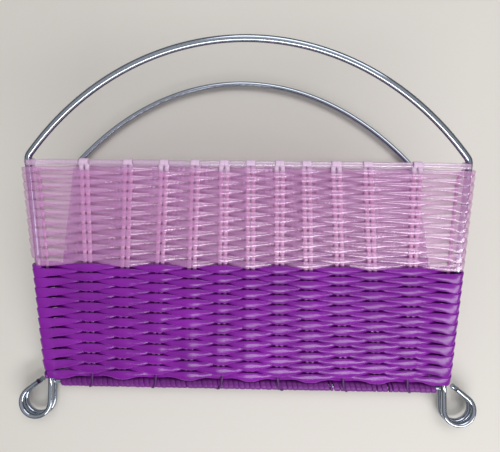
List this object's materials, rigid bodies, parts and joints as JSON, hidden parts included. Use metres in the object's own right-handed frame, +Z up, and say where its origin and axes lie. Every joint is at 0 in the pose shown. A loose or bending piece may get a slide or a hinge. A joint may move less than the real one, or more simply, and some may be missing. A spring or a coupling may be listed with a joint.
{
  "type": "magazine basket",
  "caption": "V-shaped magazine basket of two chromed bent-wire frames with arched handles and curled feet, woven with pink and purple plastic cord.",
  "frame": {"origin": "middle of the bounding box at its bottom, on the surface that the basket lies on", "axes": "+X to the right, +Y along the back frame from the curled feet to the arched handle, +Z up, out of the back frame towards the raised front frame"},
  "size_m": [0.4414, 0.3374, 0.1268],
  "materials": {
    "chrome_wire": "bright chrome plating on drawn steel wire",
    "purple_cord": "opaque glossy soft PVC cord",
    "pink_cord": "translucent glossy soft PVC cord",
    "pink_warp_cord": "glossy soft PVC cord, more strongly coloured"
  },
  "bodies": {
    "root": {"back_frame": "chrome_wire", "back_lower_weft": "purple_cord", "back_upper_weft": "pink_cord", "back_header_cord": "pink_cord", "back_warp_1": "pink_warp_cord", "back_warp_2": "pink_warp_cord", "back_warp_3": "pink_warp_cord", "back_warp_4": "pink_warp_cord", "back_warp_5": "pink_warp_cord", "back_warp_6": "pink_warp_cord", "back_warp_7": "pink_warp_cord", "back_warp_8": "pink_warp_cord", "back_warp_9": "pink_warp_cord", "back_warp_10": "pink_warp_cord", "back_warp_11": "pink_warp_cord", "front_frame": "chrome_wire", "front_lower_weft": "purple_cord", "front_upper_weft": "pink_cord", "front_header_cord": "pink_cord", "front_warp_1": "pink_warp_cord", "front_warp_2": "pink_warp_cord", "front_warp_3": "pink_warp_cord", "front_warp_4": "pink_warp_cord", "front_warp_5": "pink_warp_cord", "front_warp_6": "pink_warp_cord", "front_warp_7": "pink_warp_cord", "front_warp_8": "pink_warp_cord", "front_warp_9": "pink_warp_cord", "front_warp_10": "pink_warp_cord", "front_warp_11": "pink_warp_cord", "bottom_rail": "chrome_wire", "rail_wrap": "purple_cord"}
  },
  "joints": []
}
